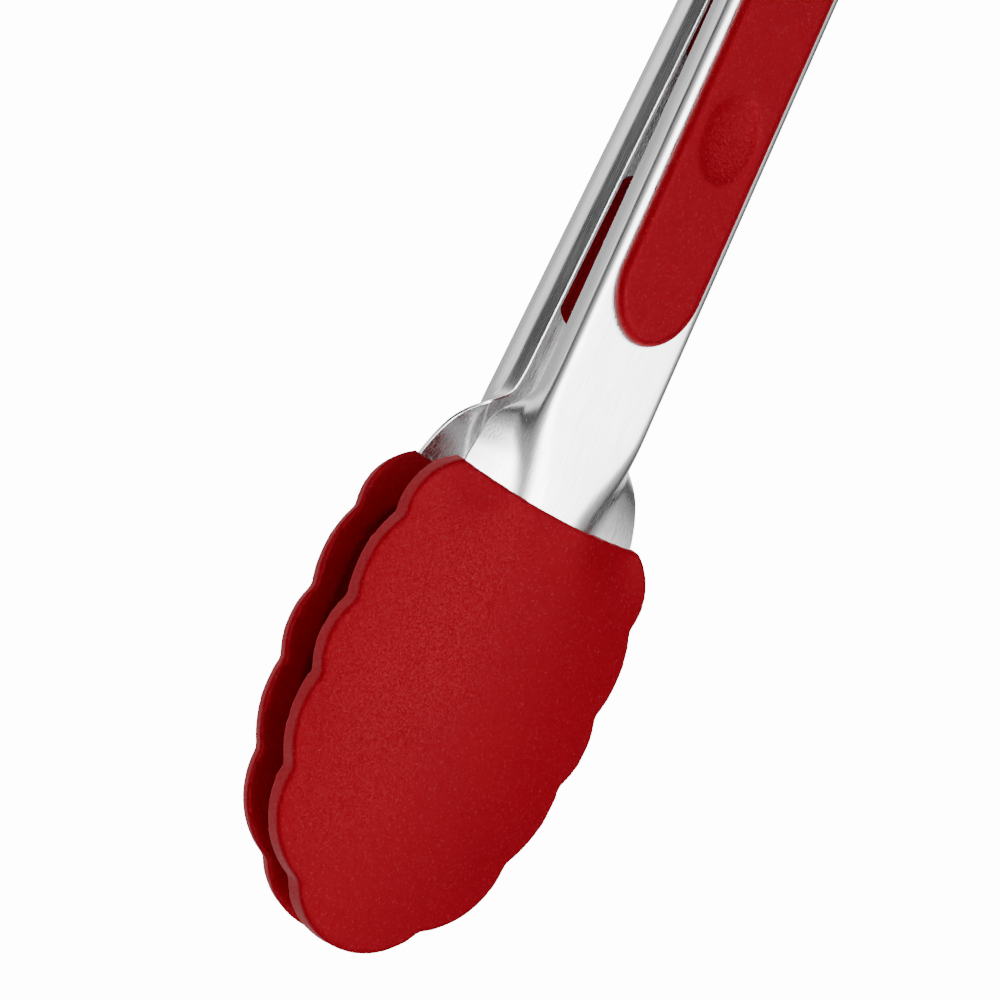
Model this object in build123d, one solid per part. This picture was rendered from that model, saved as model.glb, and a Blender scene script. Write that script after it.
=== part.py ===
"""Spring-loaded kitchen tongs: two channel arms with scalloped silicone heads and
grips, a riveted spring hinge and a sliding lock with a pull tab.

Working frame: origin on the pivot axis, +X towards the head tips, +Z from the lower
arm to the upper arm, pivot along Y.  Each arm is drawn in an arm frame (x along the
arm, z out of its back) and tilted into place.  The finished set is moved so that the
origin is the middle of its bounding box's underside.
"""
import os
from math import acos, atan2, cos, degrees, exp, radians, sin

from build123d import *

# ---- driving dimensions, mm ---------------------------------------------------------
TILT = 2.0              # each arm leans this many degrees off the middle plane
BACK = 9.17             # pivot axis to an arm's outer face
SHEET = 0.9             # steel thickness
HALF_W = 9.5            # half the channel's width
FLAT = 7.9              # half the width of the flat back
CORNER = 1.6            # bend between back and side
SIDE, SIDE_LEAN = 4.4, 3.0      # straight part of the side and its inward lean, degrees
LIP_LEAN, LIP, LIP_R = 28.0, 2.54, 3.0  # the side curls in by a lip of this length
CROWN = 0.02            # the back wall is crowned by this much
NEST_GAP = 0.25         # side clearance between the nested ears

EAR_R = 7.2             # ear radius about the pivot
BACK_END = 8.0          # an arm's back wall starts this far from the pivot
PIN_R = 2.5
SLEEVE_R = 3.3
WIRE = 1.3              # spring wire diameter
COIL_R = 4.6            # spring coil mean radius
COIL_TURNS = 4
LEG_X = 26.0            # where the spring's legs end

BAR_R = 1.5             # lock bar radius
BAR_X = 11.0            # lock bar, locked, ahead of the pivot
BAR_PLAY = 0.2
SLIDE_PER_DEG = 0.4     # lock travel for each degree the arms open
CLOSE_DEG, OPEN_DEG = -2.3, 20.0

GRIP_MID, GRIP_LEN, GRIP_W, GRIP_T = 72.5, 87.0, 15.2, 2.2
GRIP_END = 11.0         # length of a grip's rounded end
SLOT_LEN, SLOT_W, SLOT_OFF = 29.6, 8.0, 25.5
DIMPLE_X, DIMPLE = 78.4, (16.0, 9.5, 1.0)

NECK_X, NECK_BOW = 144.5, 1.1   # silicone starts here, a little later in the middle
TIP_X = 223.0
NOTCHES = [(157.0, 22.7), (172.1, 23.8), (185.0, 23.5), (199.8, 20.8), (215.6, 11.7)]
LOBES = [2.2, 1.5, 1.5, 1.5, 2.9]       # how far each lobe bulges, neck to tip
RIM_SLOPE = 0.085       # rim plane falls towards the tip, in the arm frame
WALL_DRAFT = 7.5        # the head's side wall leans inwards by this many degrees
SHELL = 3.2             # silicone thickness over the bowl
DOME_R = 68.0           # crosswise curvature of the head's back
SHOULDER = 3.0          # drop from the flat middle to the shoulders beside the neck

TAB_HALF_W, TAB_END, TAB_HOLE_X, TAB_HOLE_R = 6.4, -37.0, -29.5, 3.4
YOKE_END = -14.2

UPPER = Rot(0, -TILT, 0)
LOWER = Rot(180, 0, 0) * Rot(0, -TILT, 0)


def in_xz(shape):
    """A shape drawn with x, z as its first two axes, turned to stand on the XZ plane."""
    return Rot(90, 0, 0) * shape


def raised(sketch, height, z=0.0):
    return Pos(0, 0, z) * extrude(sketch, height, dir=(0, 0, 1))


def plate(sketch, y0, y1):
    """An x, z sketch extruded between two y values."""
    return Pos(0, y1, 0) * in_xz(raised(sketch, y1 - y0))


def both_sides(sketch, y0, y1):
    return plate(sketch, y0, y1) + plate(sketch, -y1, -y0)


# ---- arms ---------------------------------------------------------------------------
def side_path(start, bends):
    """Points along one side of a section: [(radius, turn, run), ...] from a start on the back."""
    (y, z), heading, path = start, 0.0, [start]
    for radius, turn, run in bends:
        cy, cz = y - radius * sin(heading), z - radius * cos(heading)
        mid, heading = heading + turn / 2, heading + turn
        path.append((cy + radius * sin(mid), cz + radius * cos(mid)))
        path.append((cy + radius * sin(heading), cz + radius * cos(heading)))
        y, z = path[-1][0] + run * cos(heading), path[-1][1] - run * sin(heading)
        path.append((y, z))
    return path


def section(x, half_flat, lean, lip_lean, lip, side=SIDE, arch=CROWN, r=CORNER):
    """The bent sheet's cross-section at x: back, two bends, two sides and their lips, which
    curl inwards where lip_lean is over lean and outwards where it is under."""
    a, curl = radians(90 + lean), radians(lip_lean - lean)
    lip_r = LIP_R if curl > 0 else -LIP_R
    outer = side_path((half_flat, BACK), [(r, a, side), (lip_r, curl, lip)])
    inner = side_path((half_flat, BACK - SHEET), [(r - SHEET, a, side), (lip_r - SHEET, curl, lip)])

    def v(p, s=1):
        return (x, s * p[0], p[1])

    edges = [
        ThreePointArc(v(outer[0], -1), (x, 0, BACK + arch), v(outer[0])),
        ThreePointArc(v(inner[0], -1), (x, 0, BACK - SHEET + arch), v(inner[0])),
    ]
    for s in (1, -1):
        for p in (outer, inner):
            edges += [
                ThreePointArc(v(p[0], s), v(p[1], s), v(p[2], s)), Line(v(p[2], s), v(p[3], s)),
                ThreePointArc(v(p[3], s), v(p[4], s), v(p[5], s)), Line(v(p[5], s), v(p[6], s)),
            ]
        edges.append(Line(v(outer[6], s), v(inner[6], s)))
    return make_face(edges)


def channel(root_flat):
    """Channel from the hinge to the neck: straight-sided at the root, curled along the handle."""
    root = [section(x, root_flat, 0, 0.5, 2.74) for x in (BACK_END, 25)]
    step = [root[1], section(38, FLAT, SIDE_LEAN, 18, 2.23), section(54, FLAT, SIDE_LEAN, LIP_LEAN, LIP)]
    handle = [step[2], section(127, FLAT, SIDE_LEAN, LIP_LEAN, LIP)]
    return loft(root, ruled=True) + loft(step, ruled=True) + loft(handle, ruled=True)


def neck():
    """The channel opens out into the shallow pan that carries the head."""
    return loft([
        section(127, FLAT, SIDE_LEAN, LIP_LEAN, LIP),
        section(129.6, FLAT, 2, 22, 2.8, side=4.1),
        section(131.6, FLAT, -8, -3, 2.7, side=3.5, r=1.8),
        section(134.4, 7.6, -24, -48, 2.7, side=2.6, r=2.0, arch=0.1),
        section(137, 7.0, -34, -64, 4.2, side=1.8, r=2.3, arch=0.15),
        section(141, 6.0, -43, -75, 6.2, side=1.2, r=2.7, arch=0.25),
        section(145, 5.2, -47, -80, 7.5, side=0.9, r=3.0, arch=0.3),
        section(149, 4.8, -49, -82, 7.5, side=0.8, r=3.0, arch=0.3),
    ])


def core():
    """The part of the sheet that is moulded into the head."""
    rim = [(146, 8), (152, 12.5), (162, 16), (180, 17.5), (200, 14)]
    egg = make_face([Spline(*rim, (211, 0), *[(x, -y) for x, y in reversed(rim)]),
                     Line((146, -8), (146, 8))])
    return raised(egg, 40, -20) & (under_back(1.1) - under_back(1.1 + SHEET))


def ear_outline(far_x, far_r):
    """Disc round the pivot running out to a second disc and up to the back wall."""
    hub = Circle(EAR_R)
    nose = Pos(far_x, 0, 0) * Circle(far_r)
    fill = make_hull(hub.edges() + nose.edges())
    shoulder = Polygon((-2, 6.9), (BACK_END, BACK - CORNER), (far_x, BACK - CORNER), (far_x, 0), (0, 0),
                       align=None)
    return fill + shoulder


def arm(half_w_root, far_x, far_r):
    body = channel(half_w_root - CORNER) + neck() + core()
    body += both_sides(ear_outline(far_x, far_r), half_w_root - SHEET, half_w_root)
    for s in (-1, 1):
        slot = Pos(GRIP_MID + s * SLOT_OFF, 0, 0) * raised(SlotOverall(SLOT_LEN, SLOT_W), 6, BACK - 3)
        body -= slot
    return body - plate(Circle(PIN_R + 0.05), -12, 12)


def bar_path(r):
    """The slot the lock bar needs in the upper arm, as seen from that arm."""
    def at(deg, off):
        a, reach = radians(deg), BAR_X + SLIDE_PER_DEG * deg
        x, z = reach * cos(a), -reach * sin(a)
        k = SLIDE_PER_DEG / radians(1)
        tx, tz = k * cos(a) - reach * sin(a), -k * sin(a) - reach * cos(a)
        n = (tx * tx + tz * tz) ** 0.5
        return (x - off * tz / n, z + off * tx / n)

    first, last = CLOSE_DEG - 0.4, OPEN_DEG + 2.0
    steps = [first + (last - first) * i / 8 for i in range(9)]
    up, down = [at(d, r) for d in steps], [at(d, -r) for d in steps]
    cap = Pos(*at(first, 0)) * Circle(r)
    return make_face([Spline(*up), Line(up[-1], down[-1]), Spline(*down), Line(up[0], down[0])]) + cap


def make_upper_arm(blank):
    return UPPER * blank - plate(bar_path(BAR_R + BAR_PLAY), -12, 12)


def make_lower_arm(blank):
    body = LOWER * blank
    x0, x1 = BAR_X + SLIDE_PER_DEG * CLOSE_DEG, BAR_X + SLIDE_PER_DEG * OPEN_DEG
    slot = Pos((x0 + x1) / 2, 0, 0) * SlotCenterToCenter(x1 - x0 + 0.4, 2 * (BAR_R + BAR_PLAY))
    return body - plate(slot, -12, 12)


# ---- silicone heads -------------------------------------------------------------------
def back_height(x, y):
    """Height of the head's outer face in the arm frame: an arc along x, a crown across it,
    and shoulders beside the neck that follow the pan's flanks."""
    middle = 10.2 - 0.00158 * (x - 149.0) ** 2
    near_neck = exp(-(max(x - NECK_X, 0) / 8.0) ** 2)
    t = min(max((abs(y) - 5.0) / 11.0, 0.0), 1.0)
    shoulder = SHOULDER * t * t * (3 - 2 * t)
    return middle - near_neck * shoulder - (1 - near_neck) * y * y / (2 * DOME_R)


def under_back(depth):
    """Everything under the head's outer face, sunk by depth."""
    xs = [136 + 4 * i for i in range(24)]
    ys = [-30 + 2.5 * j for j in range(25)]
    grid = [[Vector(x, y, back_height(x, y) - depth) for y in ys] for x in xs]
    face = Face.make_surface_from_array_of_points(grid, tol=0.02)
    return Solid.extrude(face, Vector(0, 0, -40))


def head_outline():
    """Scalloped egg: an arc between each pair of notches, a round tip, a bowed neck edge."""
    start = (NECK_X, 17.6)
    points = [start] + NOTCHES
    edges = [ThreePointArc((NECK_X, -17.6), (NECK_X + NECK_BOW, 0), start)]
    for s in (1, -1):
        for p, q, bulge in zip(points, points[1:], LOBES):
            dx, dy = q[0] - p[0], q[1] - p[1]
            n = (dx * dx + dy * dy) ** 0.5
            mid = ((p[0] + q[0]) / 2 - bulge * dy / n, (p[1] + q[1]) / 2 + bulge * dx / n)
            edges.append(ThreePointArc((p[0], s * p[1]), (mid[0], s * mid[1]), (q[0], s * q[1])))
    tip = NOTCHES[-1]
    edges.append(ThreePointArc(tip, (TIP_X, 0), (tip[0], -tip[1])))
    face = make_face(edges)
    return fillet([v for v in face.vertices() if v.X > NECK_X + 1], 1.2)


def bowl_outline():
    pts = [(151, 12.0), (157, 18.0), (172, 19.9), (186, 19.0), (199, 16.0), (211, 8.8)]
    return make_face([Spline(*pts, (217.5, 0), *[(x, -y) for x, y in reversed(pts)]),
                      Line((151, -12.0), (151, 12.0))])


def make_head(steel):
    """Moulded pad: the wall rises with draft from the rim plane and meets the crowned back."""
    tilt = degrees(atan2(RIM_SLOPE, 1))
    on_rim = Pos(185, 0, -0.015) * Rot(0, tilt, 0) * Pos(-185, 0, 0)
    block = extrude(head_outline(), 18, taper=WALL_DRAFT)
    pad = on_rim * (Rot(180, 0, 0) * block) & under_back(0)
    bowl = raised(bowl_outline(), 40, -15) & under_back(SHELL)
    return pad - bowl - steel


# ---- silicone grips -------------------------------------------------------------------
def make_grip():
    """Pad with long rounded ends, a finger dimple, and a hollow plug in each of the arm's slots."""
    half, run = GRIP_W / 2, GRIP_LEN / 2 - GRIP_END
    outline = Rectangle(2 * run, GRIP_W) + Pos(run, 0, 0) * Ellipse(GRIP_END, half)
    outline += Pos(-run, 0, 0) * Ellipse(GRIP_END, half)
    top = raised(outline, GRIP_T)
    top = fillet(top.edges().group_by(Axis.Z)[-1], 1.5)
    radii = DIMPLE[0] / 2, DIMPLE[1] / 2, DIMPLE[2]
    top -= Pos(DIMPLE_X - GRIP_MID, 0, GRIP_T) * scale(Sphere(1), by=radii)
    for s in (-1, 1):
        at = Pos(s * SLOT_OFF, 0, 0)
        top += at * raised(SlotOverall(SLOT_LEN, SLOT_W), SHEET + 0.3, -SHEET - 0.3)
        top -= at * raised(SlotOverall(SLOT_LEN - 2, SLOT_W - 2), SHEET + 1.6, -SHEET - 1)
    return Pos(GRIP_MID, 0, BACK + CROWN) * top


# ---- hinge ----------------------------------------------------------------------------
def make_pin():
    shank = Rot(90, 0, 0) * Cylinder(PIN_R, 2 * HALF_W)
    head = fillet(Cylinder(4.2, 1.6, align=(Align.CENTER, Align.CENTER, Align.MIN)).edges()
                  .group_by(Axis.Z)[-1], 1.2)
    tail = fillet(Cylinder(3.6, 1.3, align=(Align.CENTER, Align.CENTER, Align.MIN)).edges()
                  .group_by(Axis.Z)[-1], 0.9)
    return shank + Pos(0, -HALF_W, 0) * Rot(90, 0, 0) * head + Pos(0, HALF_W, 0) * Rot(-90, 0, 0) * tail


def make_sleeve():
    half = HALF_W - 2 * SHEET - NEST_GAP - 0.1
    ring = Circle(SLEEVE_R) - Circle(PIN_R + 0.05)
    return plate(ring, -half, half)


def make_spring():
    """Coil round the sleeve; each leg runs out along the inside of one arm."""
    reach_z = (BACK - SHEET - WIRE / 2 - 0.05) * cos(radians(TILT)) + LEG_X * sin(radians(TILT))
    dist = (LEG_X ** 2 + reach_z ** 2) ** 0.5
    lead = degrees(atan2(reach_z, LEG_X) + acos(COIL_R / dist))
    turns = COIL_TURNS + (360 - 2 * lead) / 360
    pitch = 1.5
    height = turns * pitch
    points = []
    count = int(turns * 12)
    for i in range(count + 1):
        a = radians(lead + 360 * turns * i / count)
        points.append((COIL_R * cos(a), height / 2 - height * i / count, COIL_R * sin(a)))
    coil_path = Spline(*points)
    wire = Circle(WIRE / 2)
    start_plane = Plane(coil_path @ 0, z_dir=coil_path % 0)
    coil = sweep(start_plane * wire, coil_path)
    for s in (1, -1):
        p = Vector(COIL_R * cos(radians(lead)), s * height / 2, s * COIL_R * sin(radians(lead)))
        q = Vector(LEG_X, s * height / 2, s * reach_z)
        leg = Plane(p, z_dir=q - p) * extrude(wire, (q - p).length)
        coil = coil + leg + Pos(*p) * Sphere(WIRE / 2) + Pos(*q) * Sphere(WIRE / 2)
    return coil


# ---- lock -----------------------------------------------------------------------------
def make_yoke():
    """A strap with a slotted leg either side of the coil and a flat tab behind."""
    y1 = HALF_W - 2 * SHEET - NEST_GAP - 0.3
    y0 = y1 - 0.8
    leg = make_hull((Pos(BAR_X, 0, 0) * Circle(3.0)).edges() + (Pos(-9.0, 0, 0) * Circle(4.9)).edges())
    leg += Pos((YOKE_END - 9) / 2, 0, 0) * Rectangle(-9 - YOKE_END, 9.0)
    travel0 = SLIDE_PER_DEG * OPEN_DEG + 0.3
    travel1 = -SLIDE_PER_DEG * CLOSE_DEG + 0.3
    leg -= Pos((travel1 - travel0) / 2, 0, 0) * SlotCenterToCenter(travel0 + travel1, 2 * SLEEVE_R + 0.3)
    leg -= Pos(BAR_X, 0, 0) * Circle(BAR_R)
    strap = both_sides(leg, y0, y1)
    strap += Pos(YOKE_END - 0.4, 0, 0) * Box(0.8, 2 * y1, 9.0)
    tab = Rectangle(YOKE_END - TAB_END - 5, 2 * TAB_HALF_W - 3)
    tab = Pos((YOKE_END + TAB_END + 5) / 2, 0, 0) * tab
    tab += Pos(TAB_END + 1.5 + 4.9, 0, 0) * Circle(4.9)
    tab -= Pos(TAB_HOLE_X, 0, 0) * Circle(TAB_HOLE_R + 0.8)
    return strap + raised(tab, 1.2, -0.6)


def make_tab_cover(yoke):
    """Silicone sleeve moulded over the tab, with the hanging hole through it."""
    x1 = YOKE_END - 1.6
    shape = Pos((TAB_END + TAB_HALF_W + x1) / 2, 0, 0) * Rectangle(x1 - TAB_END - TAB_HALF_W, 2 * TAB_HALF_W)
    shape += Pos(TAB_END + TAB_HALF_W, 0, 0) * Circle(TAB_HALF_W)
    shape -= Pos(TAB_HOLE_X, 0, 0) * Circle(TAB_HOLE_R)
    return raised(shape, 3.4, -1.7) - yoke


def make_lock_bar():
    """Cross bar with upset ends, held in the strap's legs."""
    bar = plate(Circle(BAR_R), -HALF_W - 0.9, HALF_W + 0.9)
    ends = both_sides(Circle(2.3), HALF_W + 0.15, HALF_W + 0.9)
    return Pos(BAR_X, 0, 0) * (bar + ends)


def build():
    upper = arm(HALF_W - SHEET - NEST_GAP, 13.5, 4.6)
    lower = arm(HALF_W, 19.5, 4.4)
    head, grip = make_head(neck() + core()), make_grip()
    yoke = make_yoke()
    return {
        "lower_arm": make_lower_arm(lower),
        "lower_head": LOWER * head,
        "lower_grip": LOWER * grip,
        "pivot_pin": make_pin(),
        "pivot_sleeve": make_sleeve(),
        "torsion_spring": make_spring(),
        "upper_arm": make_upper_arm(upper),
        "upper_head": UPPER * head,
        "upper_grip": UPPER * grip,
        "lock_yoke": yoke,
        "lock_bar": make_lock_bar(),
        "tab_cover": make_tab_cover(yoke),
    }


os.makedirs("parts", exist_ok=True)
parts = build()
boxes = [shape.bounding_box() for shape in parts.values()]
x0, x1 = min(b.min.X for b in boxes), max(b.max.X for b in boxes)
low = min(b.min.Z for b in boxes)
shift = Pos(-(x0 + x1) / 2, 0, -low)
print("pivot is at x", round(-(x0 + x1) / 2, 4), "z", round(-low, 4), "length", round(x1 - x0, 2))
for name, shape in parts.items():
    solid = shift * shape
    print(name, len(solid.solids()), round(solid.volume, 1), solid.is_valid)
    export_step(solid, f"parts/{name}.step")
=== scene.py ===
import math

import bmesh
import bpy
import numpy as np
from mathutils import Matrix, Vector


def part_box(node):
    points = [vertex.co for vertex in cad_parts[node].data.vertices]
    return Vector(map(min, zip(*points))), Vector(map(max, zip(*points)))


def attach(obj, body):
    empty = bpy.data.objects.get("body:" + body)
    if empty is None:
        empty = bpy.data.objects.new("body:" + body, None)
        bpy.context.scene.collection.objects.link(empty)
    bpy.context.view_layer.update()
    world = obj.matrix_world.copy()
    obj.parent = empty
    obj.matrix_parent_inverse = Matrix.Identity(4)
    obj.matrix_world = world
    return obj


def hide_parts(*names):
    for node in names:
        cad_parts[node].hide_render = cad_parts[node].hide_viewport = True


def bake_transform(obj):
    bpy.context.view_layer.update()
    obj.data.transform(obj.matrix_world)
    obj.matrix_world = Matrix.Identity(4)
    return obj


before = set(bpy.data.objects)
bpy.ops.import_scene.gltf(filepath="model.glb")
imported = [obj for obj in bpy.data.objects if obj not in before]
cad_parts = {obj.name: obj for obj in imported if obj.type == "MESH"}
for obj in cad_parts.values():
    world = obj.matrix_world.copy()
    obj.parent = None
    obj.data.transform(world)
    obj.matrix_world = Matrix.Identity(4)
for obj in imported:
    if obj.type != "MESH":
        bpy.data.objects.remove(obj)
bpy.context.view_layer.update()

# ---- places and sizes; lengths in millimetres unless said -------------------------------
MM = 0.001
PIVOT = sum((Vector(c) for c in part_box("pivot_sleeve")), Vector()) / 2   # metres
TILT = math.radians(2.0)
UPPER = Matrix.Translation(PIVOT) @ Matrix.Rotation(-TILT, 4, "Y") @ Matrix.Scale(MM, 4)
LOWER = (Matrix.Translation(PIVOT) @ Matrix.Rotation(math.pi, 4, "X")
         @ Matrix.Rotation(-TILT, 4, "Y") @ Matrix.Scale(MM, 4))

BACK, SHEET = 9.17, 0.9
BACK_END, NECK_START, ARM_END = 8.0, 126, 149     # along an arm, from the pivot
FLAT, HALF_W = 7.9, 9.5
NEST_IN = 1.15            # the upper arm's root is narrower, to nest in the lower arm's
EAR_R, PIN_HOLE, BAR_HOLE = 7.2, 2.55, 1.7
BAR_X, SLIDE_PER_DEG, CLOSE_DEG, OPEN_DEG = 11.0, 0.4, -2.3, 20.0
GRIP_MID, SLOT_LEN, SLOT_W, SLOT_OFF = 72.5, 29.6, 8.0, 25.5
DIMPLE_X, DIMPLE_R = 78.4, (8.0, 4.75)
SIDE, BOW = 4.4, 0.14     # height of a channel's straight side, and how far it bulges
EDGE = 0.15               # the sheet's free edge is rounded over this length
FINE_STEP, AVERAGED = 0.25, 19    # stations are resampled at this step and averaged over this many
RED = (0.42, 0.0, 0.011)
SOFT_LIGHT = 0.22         # even light from all round, on everything but the steel's reflections
LENS, CAMERA_AT = 71.9, (188.5, -133.1, 300.1)    # the place is counted from the pivot
CAMERA_RIGHT, CAMERA_DOWN = (-0.4217, 0.8098, 0.4079), (0.8978, 0.436, 0.0623)

# height of a direction, -1 down to 1 up, and how bright the studio is that way, seen in steel
STUDIO = [(-1.0, 0.62), (-0.88, 0.6), (-0.74, 1.9), (-0.6, 1.3), (-0.42, 0.12), (-0.05, 0.1),
          (0.15, 0.4), (0.55, 0.7), (0.72, 1.8), (0.86, 7.0), (0.93, 13.0)]

# x, half flat, side lean, lip lean, lip length, side length, crown, bend radius, lip radius
STATIONS = [
    (8, FLAT, 0, 0.5, 2.74, 4.4, 0.02, 1.6, 3.0),
    (25, FLAT, 0, 0.5, 2.74, 4.4, 0.02, 1.6, 3.0),
    (38, FLAT, 3, 18, 2.23, 4.4, 0.02, 1.6, 3.0),
    (54, FLAT, 3, 28, 2.54, 4.4, 0.02, 1.6, 3.0),
    (125, FLAT, 3, 28, 2.54, 4.4, 0.02, 1.6, 3.0),
    (129.0, 7.8, 2, 22, 2.8, 4.1, 0.02, 1.8, 3.0),
    (131.4, 7.5, -8, -5, 2.7, 3.5, 0.02, 2.2, 3.0),
    (134.2, 6.8, -26, -46, 2.7, 2.5, 0.1, 3.0, 3.4),
    (137, 5.9, -38, -62, 4.0, 1.7, 0.15, 4.0, 4.2),
    (141, 4.4, -50, -73, 5.9, 0.9, 0.25, 5.2, 5.5),
    (145, 3.2, -55, -79, 7.3, 0.6, 0.3, 6.0, 6.5),
    (149, 2.8, -57, -81, 7.1, 0.5, 0.3, 6.0, 7.0),
]


# ---- mesh helpers -----------------------------------------------------------------------
def new_object(name, verts, faces, matrix=None, smooth=40.0):
    mesh = bpy.data.meshes.new(name)
    mesh.from_pydata([tuple(v) for v in verts], [], faces)
    if matrix:
        mesh.transform(matrix)
    bm = bmesh.new()
    bm.from_mesh(mesh)
    bmesh.ops.recalc_face_normals(bm, faces=bm.faces)
    bm.to_mesh(mesh)
    bm.free()
    o = bpy.data.objects.new(name, mesh)
    bpy.context.scene.collection.objects.link(o)
    shade(o, smooth)
    return o


def shade(o, angle):
    o.data.shade_smooth()
    o.data.set_sharp_from_angle(angle=math.radians(angle))


def apply_modifiers(o):
    deps = bpy.context.evaluated_depsgraph_get()
    mesh = bpy.data.meshes.new_from_object(o.evaluated_get(deps))
    o.modifiers.clear()
    old, o.data = o.data, mesh
    bpy.data.meshes.remove(old)
    return o


def combine(o, tool, operation):
    """Boolean of o with tool, which is used up."""
    m = o.modifiers.new("cut", "BOOLEAN")
    m.object, m.operation, m.solver = tool, operation, "EXACT"
    bpy.context.view_layer.update()
    apply_modifiers(o)
    bpy.data.objects.remove(tool)


def prism(name, points, axis, a, b, matrix):
    """Closed prism: a 2-D outline run from a to b along y (points are x, z) or z (x, y)."""
    n = len(points)
    put = (lambda p, t: (p[0], t, p[1])) if axis == "y" else (lambda p, t: (p[0], p[1], t))
    verts = [put(p, t) for t in (a, b) for p in points]
    faces = [tuple(range(n)), tuple(range(n, 2 * n))]
    faces += [(i, (i + 1) % n, n + (i + 1) % n, n + i) for i in range(n)]
    return new_object(name, verts, faces, matrix)


def ring(cx, cy, r, n=64, a0=0.0, a1=360.0):
    span = np.radians(np.linspace(a0, a1, n, endpoint=a1 - a0 < 360))
    return [(cx + r * math.cos(t), cy + r * math.sin(t)) for t in span]


def capsule(cx, cy, length, width, n=24):
    r, c = width / 2, (length - width) / 2
    return ring(cx + c, cy, r, n, -90, 90) + ring(cx - c, cy, r, n, 90, 270)


def hull(points):
    """Convex outline of some 2-D points."""
    points = sorted(set((round(x, 6), round(y, 6)) for x, y in points))

    def half(seq):
        out = []
        for p in seq:
            while len(out) > 1 and ((out[-1][0] - out[-2][0]) * (p[1] - out[-2][1])
                                    - (out[-1][1] - out[-2][1]) * (p[0] - out[-2][0])) <= 0:
                out.pop()
            out.append(p)
        return out[:-1]
    return half(points) + half(points[::-1])


# ---- the arms' bent sheet ---------------------------------------------------------------
def arc(center, radius, a0, a1, n):
    t = np.linspace(a0, a1, n)
    return np.stack([center[0] + radius * np.sin(t), center[1] + radius * np.cos(t)], 1)


def half_profile(flat, lean, lip_lean, lip, side, r, lip_r, bow, inset):
    """One side of the section, from near the middle of the back to the lip's end."""
    turn, curl = math.radians(90 + lean), math.radians(lip_lean - lean)
    lip_r = math.copysign(lip_r, curl) - inset
    back = np.stack([np.linspace(0.6, flat, 9), np.full(9, BACK - inset)], 1)
    bend = arc((flat, BACK - r), r - inset, 0, turn, 11)
    share = np.linspace(0, 1, 12)[1:, None]
    run = bend[-1] + side * share * (math.cos(turn), -math.sin(turn))
    run += bow * np.sin(math.pi * share) * (math.sin(turn), math.cos(turn))
    centre = run[-1] - lip_r * np.array((math.sin(turn), math.cos(turn)))
    curve = arc(centre, lip_r, turn, turn + curl, 8)[1:]
    down = np.array((math.cos(turn + curl), -math.sin(turn + curl)))
    straight = curve[-1] + np.linspace(0, lip - EDGE, 7)[1:, None] * down
    return np.concatenate([back, bend[1:], run, curve, straight]), down


def section(x, flat, lean, lip_lean, lip, side, crown, r, lip_r):
    """Closed loop of the sheet's section: outer face, rounded free edge, inner face."""
    bow = BOW * min(max((x - 30) / 15, 0), 1) * (side / SIDE) ** 3
    outer, down = half_profile(flat, lean, lip_lean, lip, side, r, lip_r, bow, 0.0)
    inner, _ = half_profile(flat, lean, lip_lean, lip, side, r, lip_r, bow, SHEET)
    across = inner[-1] - outer[-1]
    edge = [outer[-1] + EDGE * down + across * share for share in (0.17, 0.83)]
    loop = np.concatenate([outer, edge, inner[::-1]])
    arch = np.clip(1 - (loop[:, 0] / (flat + r)) ** 2, 0, 1)
    loop[:, 1] += crown * arch * np.clip((loop[:, 1] - BACK + 3) / 2, 0, 1)
    loop = np.concatenate([loop, loop[::-1] * (-1, 1)])
    return np.column_stack([np.full(len(loop), x), loop])


def sheet(name, matrix, nest):
    """An arm's closed mesh, lofted through smoothed stations, before its ears and slots."""
    table = np.array(STATIONS, float)
    xs = np.unique(np.concatenate([np.arange(BACK_END, 30, 1.0), np.arange(30, NECK_START, 2.0),
                                   np.arange(NECK_START, ARM_END + 0.01, 0.5)]))
    fine = np.arange(-20, 180, FINE_STEP)
    rows = [np.interp(fine, table[:, 0], table[:, k]) for k in range(1, 9)]
    kernel = np.hanning(AVERAGED)
    rows = [np.convolve(r, kernel / kernel.sum(), "same") for r in rows]
    params = [np.interp(xs, fine, r) for r in rows]
    params[0] = params[0] - nest * (1 - np.clip((xs - 25) / 13, 0, 1))
    loops = [section(x, *p) for x, *p in zip(xs, *params)]
    n = len(loops[0])
    verts = np.concatenate(loops)
    faces = []
    for i in range(len(loops) - 1):
        for j in range(n):
            k = (j + 1) % n
            faces.append((i * n + j, i * n + k, (i + 1) * n + k, (i + 1) * n + j))
    half = n // 2
    pairs = [(j, half - 1 - j) for j in range(half // 2)]
    for base in (0, (len(loops) - 1) * n):
        for (a, b), (c, d) in zip(pairs, pairs[1:]):
            faces.append((base + a, base + c, base + d, base + b))
            faces.append((base + half + a, base + half + c, base + half + d, base + half + b))
        m = half - 1
        faces.append((base, base + m, base + half, base + n - 1))
    return new_object(name, verts, faces, matrix)


def ear_points(far_x, far_r):
    """Outline of an ear: round the pivot and its front end, and up to the bend of the back."""
    bend = BACK - 1.6
    tops = [(-2, 6.9), (BACK_END, bend), (far_x, bend), (far_x, 0)]
    return hull(ring(0, 0, EAR_R) + ring(far_x, 0, far_r) + tops)


def make_arm(name, matrix, nest, far_x, far_r):
    arm = sheet(name, matrix, nest)
    outer = HALF_W - nest
    for s in (-1, 1):
        y = sorted((s * (outer - SHEET - 0.01), s * (outer + 0.01)))
        combine(arm, prism("ear", ear_points(far_x, far_r), "y", y[0], y[1], matrix), "UNION")
    for s in (-1, 1):
        pts = capsule(GRIP_MID + s * SLOT_OFF, 0, SLOT_LEN, SLOT_W)
        combine(arm, prism("slot", pts, "z", BACK - 3, BACK + 3, matrix), "DIFFERENCE")
    combine(arm, prism("bore", ring(0, 0, PIN_HOLE), "y", -14, 14, matrix), "DIFFERENCE")
    return arm


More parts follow.
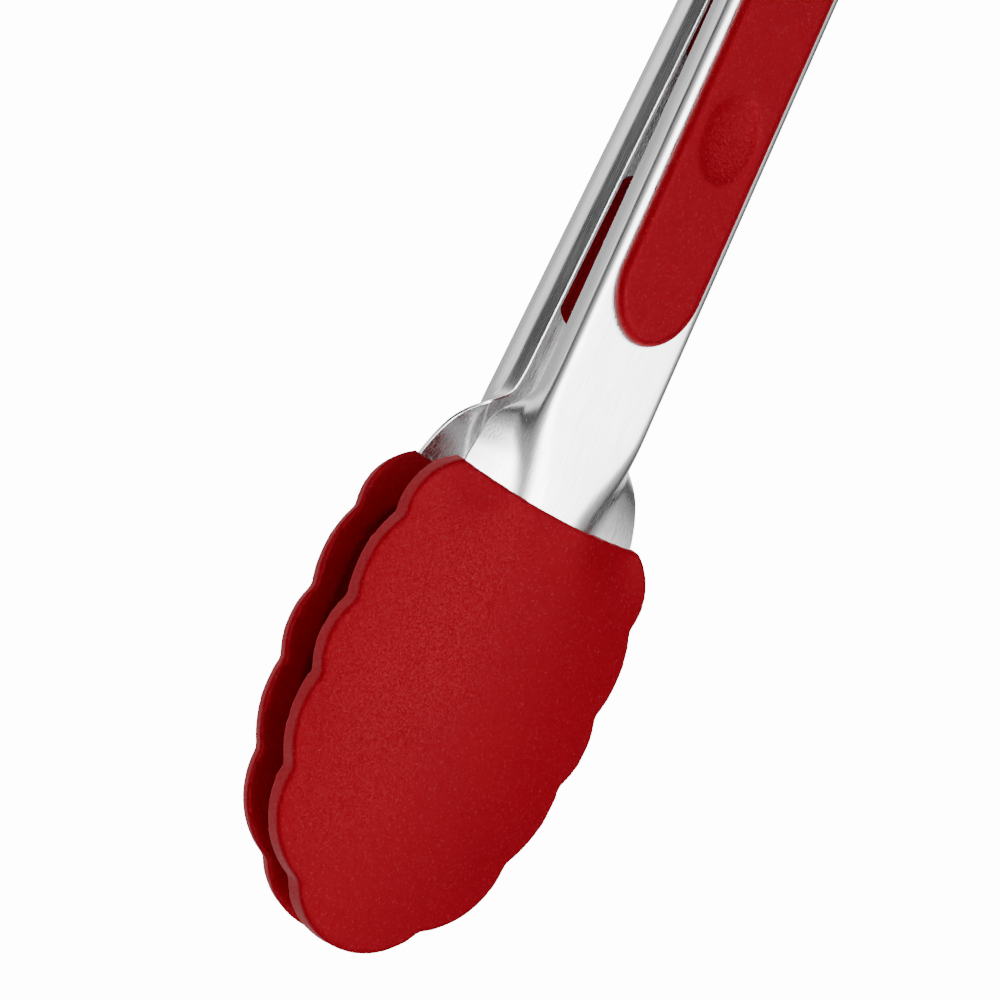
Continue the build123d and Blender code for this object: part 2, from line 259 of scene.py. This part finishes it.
def swept_slot(first, last):
    """The band that the lock bar sweeps in the upper arm, between two openings in degrees."""
    up, down = [], []
    slide = math.degrees(SLIDE_PER_DEG)      # for each radian
    for d in np.linspace(first, last, 17):
        a, reach = math.radians(d), BAR_X + SLIDE_PER_DEG * d
        x, z = reach * math.cos(a), -reach * math.sin(a)
        tx = slide * math.cos(a) - reach * math.sin(a)
        tz = -slide * math.sin(a) - reach * math.cos(a)
        n = math.hypot(tx, tz)
        up.append((x - BAR_HOLE * tz / n, z + BAR_HOLE * tx / n))
        down.append((x + BAR_HOLE * tz / n, z - BAR_HOLE * tx / n))
        if d == first:
            t = math.degrees(math.atan2(tz, tx))
            cap = ring(x, z, BAR_HOLE, 16, t + 90, t + 270)
    return up[::-1] + cap[1:-1] + down


def bar_slot(arm, upper):
    """Slot for the lock bar, cut in the row frame's own directions."""
    at = Matrix.Translation(PIVOT) @ Matrix.Scale(MM, 4)
    if upper:
        pts = swept_slot(CLOSE_DEG - 0.4, OPEN_DEG + 2.0)
    else:
        x0, x1 = BAR_X + SLIDE_PER_DEG * CLOSE_DEG, BAR_X + SLIDE_PER_DEG * OPEN_DEG
        pts = capsule((x0 + x1) / 2, 0, x1 - x0 + 0.4 + 2 * BAR_HOLE, 2 * BAR_HOLE)
    combine(arm, prism("bar_slot", pts, "y", -14, 14, at), "DIFFERENCE")


# ---- soft mouldings ---------------------------------------------------------------------
def moulded(name, voxel, rounds):
    """A copy of a CAD node with its edges softened as a mould leaves them."""
    o = bpy.data.objects.new(name + "_skin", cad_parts[name].data.copy())
    o.data.materials.clear()
    bpy.context.scene.collection.objects.link(o)
    m = o.modifiers.new("voxels", "REMESH")
    m.mode, m.voxel_size, m.use_smooth_shade = "VOXEL", voxel * MM, True
    m = o.modifiers.new("soften", "SMOOTH")
    m.factor, m.iterations = 0.5, rounds
    bpy.context.view_layer.update()
    apply_modifiers(o)
    o.data.shade_smooth()
    return o


def points_of(o):
    co = np.empty(len(o.data.vertices) * 3)
    o.data.vertices.foreach_get("co", co)
    return co.reshape(-1, 3)


def soften_dimple(grip, matrix):
    """Rounds the rim of the finger dimple and seats the pad's underside on the steel."""
    there, back = np.array(matrix), np.array(matrix.inverted())
    x, y, z = (points_of(grip) @ back[:3, :3].T + back[:3, 3]).T
    off = np.hypot((x - DIMPLE_X) / DIMPLE_R[0], y / DIMPLE_R[1])
    weight = np.clip(1 - np.abs(off - 0.95) / 0.45, 0, 1) * (z > BACK + 0.7)
    group = grip.vertex_groups.new(name="rim")
    for i in np.nonzero(weight)[0]:
        group.add([int(i)], float(weight[i]), "REPLACE")
    m = grip.modifiers.new("rim", "SMOOTH")
    m.factor, m.iterations, m.vertex_group = 0.6, 60, "rim"
    bpy.context.view_layer.update()
    apply_modifiers(grip)
    grip.vertex_groups.clear()
    local = points_of(grip) @ back[:3, :3].T + back[:3, 3]
    straight = (SLOT_LEN - SLOT_W) / 2
    u = np.clip(np.abs(np.abs(local[:, 0] - GRIP_MID) - SLOT_OFF) - straight, 0, None)
    beyond = np.hypot(u, local[:, 1]) > SLOT_W / 2 + 0.35
    local[beyond & (local[:, 2] < BACK + 0.3), 2] = BACK - 0.08
    grip.data.vertices.foreach_set("co", (local @ there[:3, :3].T + there[:3, 3]).ravel())
    grip.data.update()
    grip.data.shade_smooth()
    return grip


# ---- spring -----------------------------------------------------------------------------
def spring_path(wire):
    """Middle of the wire: out along one leg, round the sleeve, and out along the other leg."""
    coil_r, whole_turns, leg_x, pitch = 4.6, 4, 26.0, 1.5
    reach = (BACK - SHEET - wire / 2 - 0.05) * math.cos(TILT) + leg_x * math.sin(TILT)
    lead = math.atan2(reach, leg_x) + math.acos(coil_r / math.hypot(leg_x, reach))
    turns = whole_turns + (2 * math.pi - 2 * lead) / (2 * math.pi)
    height = turns * pitch
    t = np.linspace(0, 1, 240)
    a = lead + 2 * math.pi * turns * t
    coil = np.stack([coil_r * np.cos(a), height / 2 - height * t, coil_r * np.sin(a)], 1)
    s = np.linspace(1, 0, 26)[:-1, None]
    top = coil[0] + s * (np.array((leg_x, height / 2, reach)) - coil[0])
    low = coil[-1] + s[::-1] * (np.array((leg_x, -height / 2, -reach)) - coil[-1])
    return np.concatenate([top, coil, low])


def make_spring():
    """Wire swept round the sleeve with a leg out along each arm, one smooth tube."""
    wire, side = 1.3, 16
    path = spring_path(wire)
    tangents = np.gradient(path, axis=0)
    tangents /= np.linalg.norm(tangents, axis=1)[:, None]
    up = np.cross(tangents, (0, 1, 0))
    up /= np.linalg.norm(up, axis=1)[:, None]
    other = np.cross(tangents, up)
    angles = np.linspace(0, 2 * math.pi, side, endpoint=False)
    verts, faces = [], []

    def add_ring(centre, radius, i):
        verts.extend(centre + radius * (math.cos(q) * up[i] + math.sin(q) * other[i]) for q in angles)
        return [len(verts) - side + j for j in range(side)]

    def join(a, b):
        faces.extend((a[j], a[(j + 1) % side], b[(j + 1) % side], b[j]) for j in range(side))

    rings = [add_ring(p, wire / 2, i) for i, p in enumerate(path)]
    for a, b in zip(rings, rings[1:]):
        join(a, b)
    for end, sign in ((0, -1), (len(path) - 1, 1)):
        last = rings[end]
        for w in (30, 60):
            centre = path[end] + sign * tangents[end] * wire / 2 * math.sin(math.radians(w))
            now = add_ring(centre, wire / 2 * math.cos(math.radians(w)), end)
            join(last, now)
            last = now
        faces.append(tuple(last))
    return new_object("spring_wire", verts, faces, Matrix.Translation(PIVOT) @ Matrix.Scale(MM, 4))


# ---- materials --------------------------------------------------------------------------
def node(tree, kind, **values):
    n = tree.nodes.new(kind)
    for key, value in values.items():
        setattr(n, key, value)
    return n


def start(name):
    m = bpy.data.materials.new(name)
    m.use_nodes = True
    tree = m.node_tree
    return m, tree, tree.nodes["Principled BSDF"]


def coordinates(tree, scale):
    where = node(tree, "ShaderNodeTexCoord")
    mapping = node(tree, "ShaderNodeMapping")
    mapping.inputs["Scale"].default_value = scale
    tree.links.new(where.outputs["Object"], mapping.inputs["Vector"])
    return mapping.outputs["Vector"]


def noise(tree, scale, detail=4.0, rough=0.55):
    n = node(tree, "ShaderNodeTexNoise")
    n.inputs["Scale"].default_value = 1.0
    n.inputs["Detail"].default_value = detail
    n.inputs["Roughness"].default_value = rough
    tree.links.new(coordinates(tree, scale), n.inputs["Vector"])
    return n.outputs["Fac"]


def ramp(tree, source, low, high, a, b):
    n = node(tree, "ShaderNodeMapRange")
    for key, value in (("From Min", low), ("From Max", high), ("To Min", a), ("To Max", b)):
        n.inputs[key].default_value = value
    tree.links.new(source, n.inputs["Value"])
    return n.outputs["Result"]


def brushed(name, color, rough, streak=0.22, aniso=0.55, edge=0.12):
    """Steel brushed along x, with a tight bevel on its cut edges."""
    m, tree, b = start(name)
    b.inputs["Base Color"].default_value = (*color, 1)
    b.inputs["Metallic"].default_value = 1.0
    b.inputs["Anisotropic"].default_value = aniso
    long = noise(tree, (70, 4200, 4200), 5.0)
    broad = noise(tree, (90, 420, 420), 3.0)
    mix = node(tree, "ShaderNodeMath", operation="ADD")
    low, high = rough - streak / 2, rough + streak / 2
    tree.links.new(ramp(tree, long, 0.3, 0.7, low, high), mix.inputs[0])
    tree.links.new(ramp(tree, broad, 0.3, 0.7, -0.05, 0.05), mix.inputs[1])
    tree.links.new(mix.outputs[0], b.inputs["Roughness"])
    along = node(tree, "ShaderNodeCombineXYZ")
    along.inputs[0].default_value = 1.0
    tree.links.new(along.outputs[0], b.inputs["Tangent"])
    bevel = node(tree, "ShaderNodeBevel")
    bevel.samples = 4
    bevel.inputs["Radius"].default_value = edge * MM
    bump = node(tree, "ShaderNodeBump")
    bump.inputs["Strength"].default_value = 0.5
    bump.inputs["Distance"].default_value = 0.00003
    tree.links.new(long, bump.inputs["Height"])
    tree.links.new(bevel.outputs[0], bump.inputs["Normal"])
    tree.links.new(bump.outputs[0], b.inputs["Normal"])
    return m


def silicone(name, color, stipple=False):
    """Matt moulded silicone: fine grain, slight cloudiness, a soft sheen painted as lighter dots, and
    painted shade in its recesses.
    """
    m, tree, b = start(name)
    fine = noise(tree, (2600, 2600, 2600), 3.0, 0.6)
    cloud = noise(tree, (55, 55, 55), 3.0)
    tint = node(tree, "ShaderNodeMix", data_type="RGBA")
    tint.inputs[6].default_value = (*[c * 0.86 for c in color], 1)
    tint.inputs[7].default_value = (*[min(c * 1.12, 1) for c in color], 1)
    tree.links.new(cloud, tint.inputs[0])
    # painted sheen: lighter dots from thresholded fine noise are mixed into the base colour to stand
    # in for a speckled sheen
    painted_sheen_specks = node(tree, "ShaderNodeMix", data_type="RGBA")
    painted_sheen_specks.inputs[7].default_value = (0.75, 0.09, 0.10, 1)
    dots = noise(tree, (2300, 2300, 2300), 2.0, 0.7)
    tree.links.new(ramp(tree, dots, 0.58, 0.80, 0.0, 0.35), painted_sheen_specks.inputs[0])
    tree.links.new(tint.outputs[2], painted_sheen_specks.inputs[6])
    # painted shade: where ambient occlusion finds recesses and crevices, such as the grips' slot
    # pockets, the base colour goes to near black
    painted_shade_ao = node(tree, "ShaderNodeAmbientOcclusion")
    painted_shade_ao.samples = 8
    painted_shade_ao.inputs["Distance"].default_value = 0.006
    tree.links.new(painted_sheen_specks.outputs[2], painted_shade_ao.inputs["Color"])
    painted_shade_mix = node(tree, "ShaderNodeMix", data_type="RGBA")
    painted_shade_mix.inputs[6].default_value = (0.02, 0.0, 0.0, 1)
    tree.links.new(ramp(tree, painted_shade_ao.outputs["AO"], 0.3, 0.85, 0.0, 1.0), painted_shade_mix.inputs[0])
    tree.links.new(painted_sheen_specks.outputs[2], painted_shade_mix.inputs[7])
    tree.links.new(painted_shade_mix.outputs[2], b.inputs["Base Color"])
    tree.links.new(ramp(tree, fine, 0.3, 0.7, 0.42, 0.62), b.inputs["Roughness"])
    b.inputs["Specular IOR Level"].default_value = 0.14
    bump = node(tree, "ShaderNodeBump")
    bump.inputs["Strength"].default_value = 0.6
    bump.inputs["Distance"].default_value = 0.00005
    tree.links.new(fine, bump.inputs["Height"])
    last = bump
    if stipple:
        for centre in dimple_centres():
            last = stippled(tree, last, centre)
    tree.links.new(last.outputs[0], b.inputs["Normal"])
    return m


def dimple_centres():
    """Centre of the finger dimple on each arm, metres in the row frame."""
    return [m @ Vector((DIMPLE_X, 0, BACK + 2)) for m in (UPPER, LOWER)]


def stippled(tree, before, centre):
    """Adds a fine raised grain inside one finger dimple to the bump before it."""
    where = node(tree, "ShaderNodeTexCoord")
    off = node(tree, "ShaderNodeVectorMath", operation="SUBTRACT")
    off.inputs[1].default_value = centre
    tree.links.new(where.outputs["Object"], off.inputs[0])
    scaled = node(tree, "ShaderNodeVectorMath", operation="MULTIPLY")
    scaled.inputs[1].default_value = (1 / (DIMPLE_R[0] * MM), 1 / (DIMPLE_R[1] * MM), 200)
    tree.links.new(off.outputs[0], scaled.inputs[0])
    length = node(tree, "ShaderNodeVectorMath", operation="LENGTH")
    tree.links.new(scaled.outputs[0], length.inputs[0])
    cells = node(tree, "ShaderNodeTexVoronoi")
    cells.inputs["Scale"].default_value = 1900.0
    tree.links.new(where.outputs["Object"], cells.inputs["Vector"])
    bump = node(tree, "ShaderNodeBump")
    bump.inputs["Distance"].default_value = 0.00018
    inside = ramp(tree, length.outputs["Value"], 1.15, 0.85, 0.0, 0.7)
    tree.links.new(inside, bump.inputs["Strength"])
    tree.links.new(cells.outputs["Distance"], bump.inputs["Height"])
    tree.links.new(before.outputs[0], bump.inputs["Normal"])
    return bump


# ---- stage ------------------------------------------------------------------------------
def camera():
    data = bpy.data.cameras.new("camera")
    data.sensor_width, data.lens = 36.0, LENS
    cam = bpy.data.objects.new("camera", data)
    right, down = Vector(CAMERA_RIGHT), Vector(CAMERA_DOWN)
    m = Matrix((right, -down, -right.cross(down))).transposed().to_4x4()
    m.translation = PIVOT + Vector(CAMERA_AT) * MM
    cam.matrix_world = m
    data.clip_start, data.clip_end = 0.01, 10
    bpy.context.scene.collection.objects.link(cam)
    bpy.context.scene.camera = cam


def area(name, loc, power):
    """Square lamp aimed at the tongs, which the steel doesn't reflect."""
    size, target = 0.5, (0.08, 0, 0.02)
    light = bpy.data.lights.new(name, "AREA")
    light.shape, light.size, light.size_y = "RECTANGLE", size, size
    light.energy = power
    o = bpy.data.objects.new(name, light)
    o.location = loc
    o.rotation_mode = "QUATERNION"
    o.rotation_quaternion = (Vector(target) - Vector(loc)).to_track_quat("-Z", "Y")
    o.visible_glossy = False
    bpy.context.scene.collection.objects.link(o)


def stage():
    """Pale floor that the camera sees as plain white, the world and two lamps."""
    bpy.ops.mesh.primitive_plane_add(size=60, location=(0, 0, -0.0002))
    floor = bpy.context.object
    floor.name = "floor"
    m, tree, b = start("floor")
    b.inputs["Base Color"].default_value = (0.8, 0.8, 0.8, 1)
    b.inputs["Roughness"].default_value = 0.9
    glow = node(tree, "ShaderNodeEmission")
    glow.inputs["Strength"].default_value = 14.0
    seen = node(tree, "ShaderNodeLightPath")
    mix = node(tree, "ShaderNodeMixShader")
    tree.links.new(seen.outputs["Is Camera Ray"], mix.inputs[0])
    tree.links.new(b.outputs[0], mix.inputs[1])
    tree.links.new(glow.outputs[0], mix.inputs[2])
    tree.links.new(mix.outputs[0], tree.nodes["Material Output"].inputs["Surface"])
    floor.data.materials.append(m)
    floor.visible_glossy = False
    sky()
    area("key", (0.35, 0.45, 0.7), 2.6)
    area("side", (0.05, -0.9, 0.1), 3.2)


def sky():
    """Even light, and for glossy rays a studio of bright and dark bands by height."""
    world = bpy.data.worlds.new("world")
    bpy.context.scene.world = world
    world.use_nodes = True
    tree = world.node_tree
    where = node(tree, "ShaderNodeTexCoord")
    parts = node(tree, "ShaderNodeSeparateXYZ")
    tree.links.new(where.outputs["Generated"], parts.inputs[0])
    bands = node(tree, "ShaderNodeValToRGB")
    bands.color_ramp.interpolation = "EASE"
    stops = bands.color_ramp.elements
    top = max(v for _, v in STUDIO)
    while len(stops) < len(STUDIO):
        stops.new(0.5)
    for stop, (height, value) in zip(stops, STUDIO):
        stop.position = (height + 1) / 2
        stop.color = (*[value / top] * 3, 1)
    tree.links.new(ramp(tree, parts.outputs["Z"], -1, 1, 0, 1), bands.inputs[0])
    soft = tree.nodes["Background"]
    soft.inputs["Color"].default_value = (1, 1, 1, 1)
    soft.inputs["Strength"].default_value = SOFT_LIGHT
    studio = node(tree, "ShaderNodeBackground")
    studio.inputs["Strength"].default_value = top
    tree.links.new(bands.outputs["Color"], studio.inputs["Color"])
    seen = node(tree, "ShaderNodeLightPath")
    mix = node(tree, "ShaderNodeMixShader")
    tree.links.new(seen.outputs["Is Glossy Ray"], mix.inputs[0])
    tree.links.new(soft.outputs[0], mix.inputs[1])
    tree.links.new(studio.outputs[0], mix.inputs[2])
    tree.links.new(mix.outputs[0], tree.nodes["World Output"].inputs["Surface"])


# ---- put together -----------------------------------------------------------------------
def finish_piece(o, body, slot, material, *nodes):
    o.data.materials.clear()
    o.data.materials.append(material)
    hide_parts(*nodes)
    if body:
        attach(o, body)


steel = brushed("arm_steel", (0.78, 0.78, 0.79), 0.30)
strap = brushed("strap", (0.70, 0.70, 0.71), 0.32, aniso=0.3)
rivet = brushed("rivet", (0.76, 0.76, 0.77), 0.2, streak=0.05, aniso=0.0)
bright = brushed("wire", (0.72, 0.72, 0.73), 0.16, streak=0.04, aniso=0.0, edge=0.02)
red = silicone("red_silicone", RED)
red_grip = silicone("red_grip_silicone", RED, stipple=True)

for side, matrix, nest, far_x, far_r in (("upper", UPPER, NEST_IN, 13.5, 4.6),
                                         ("lower", LOWER, 0.0, 19.5, 4.4)):
    arm = make_arm(side + "_channel", matrix, nest, far_x, far_r)
    bar_slot(arm, side == "upper")
    shade(arm, 35)
    finish_piece(arm, side + "_half", "steel_arm", steel, side + "_arm")
    finish_piece(moulded(side + "_head", 0.4, 6), side + "_half", "silicone", red, side + "_head")
    grip = soften_dimple(moulded(side + "_grip", 0.22, 4), matrix)
    finish_piece(grip, side + "_half", "silicone", red_grip, side + "_grip")

spring = make_spring()
finish_piece(spring, None, "spring_wire", bright, "torsion_spring")
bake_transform(spring)
finish_piece(moulded("tab_cover", 0.25, 4), "lock", "silicone", red, "tab_cover")

for name, material in (("pivot_pin", rivet), ("pivot_sleeve", rivet), ("lock_yoke", strap),
                       ("lock_bar", rivet)):
    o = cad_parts[name]
    o.data.materials.clear()
    o.data.materials.append(material)

stage()
camera()
